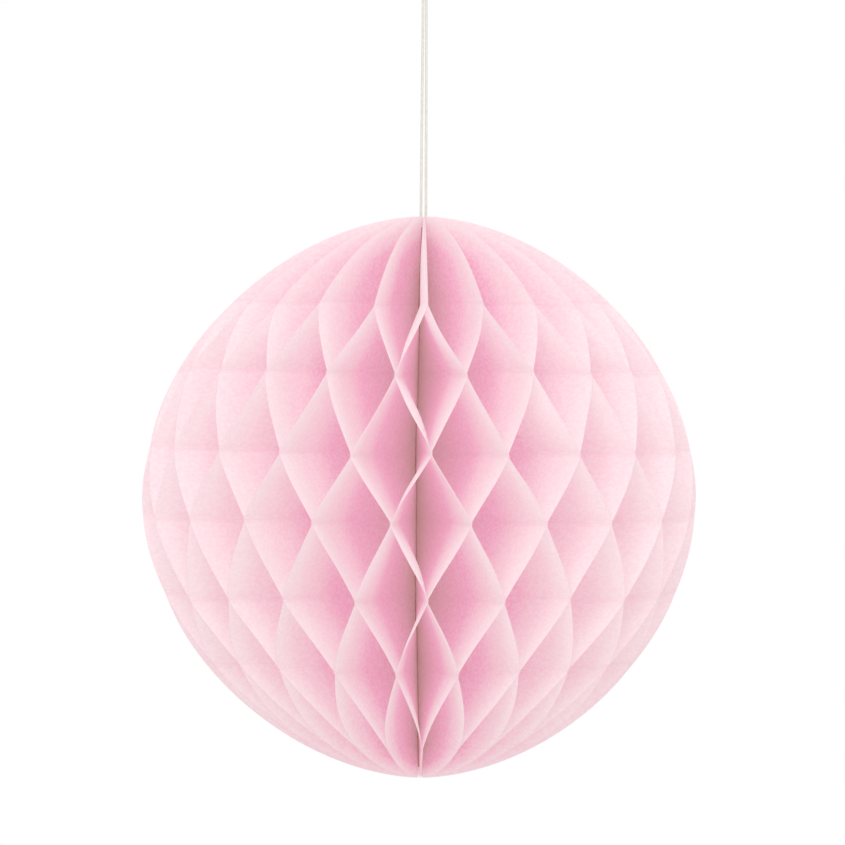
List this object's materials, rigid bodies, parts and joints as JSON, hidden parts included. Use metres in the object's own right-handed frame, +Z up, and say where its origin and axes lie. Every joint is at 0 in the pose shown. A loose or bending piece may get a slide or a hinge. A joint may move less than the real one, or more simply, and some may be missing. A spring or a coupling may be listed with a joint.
{
  "type": "honeycomb paper ball",
  "caption": "Hanging ball of tissue paper whose glued leaves open into diamond honeycomb cells round a bound core, on a doubled cord that ends in a knotted eye.",
  "frame": {"origin": "the point inside the top of the cord's eye where a hook bears; the ball hangs below it", "axes": "+Z up along the ball's axis, through both poles; the first pair of leaves faces the front, along -Y, with +X to the viewer's right"},
  "size_m": [0.0998, 0.0996, 0.1518],
  "materials": {
    "tissue": "matte pale pink tissue, thin enough to let light through",
    "binding": "bound paper edges and dried glue, dull brownish pink",
    "cord": "twisted white cotton"
  },
  "bodies": {
    "root": {"leaf_01": "tissue", "leaf_02": "tissue", "leaf_03": "tissue", "leaf_04": "tissue", "leaf_05": "tissue", "leaf_06": "tissue", "leaf_07": "tissue", "leaf_08": "tissue", "leaf_09": "tissue", "leaf_10": "tissue", "leaf_11": "tissue", "leaf_12": "tissue", "leaf_13": "tissue", "leaf_14": "tissue", "leaf_15": "tissue", "leaf_16": "tissue", "leaf_17": "tissue", "leaf_18": "tissue", "leaf_19": "tissue", "leaf_20": "tissue", "leaf_21": "tissue", "leaf_22": "tissue", "leaf_23": "tissue", "leaf_24": "tissue", "leaf_25": "tissue", "leaf_26": "tissue", "leaf_27": "tissue", "leaf_28": "tissue", "leaf_29": "tissue", "leaf_30": "tissue", "leaf_31": "tissue", "leaf_32": "tissue", "leaf_33": "tissue", "leaf_34": "tissue", "leaf_35": "tissue", "leaf_36": "tissue", "leaf_37": "tissue", "leaf_38": "tissue", "leaf_39": "tissue", "leaf_40": "tissue", "leaf_41": "tissue", "leaf_42": "tissue", "leaf_43": "tissue", "leaf_44": "tissue", "spine_binding": "binding", "hanging_cord": "cord", "cord_knot": "cord"}
  },
  "joints": []
}
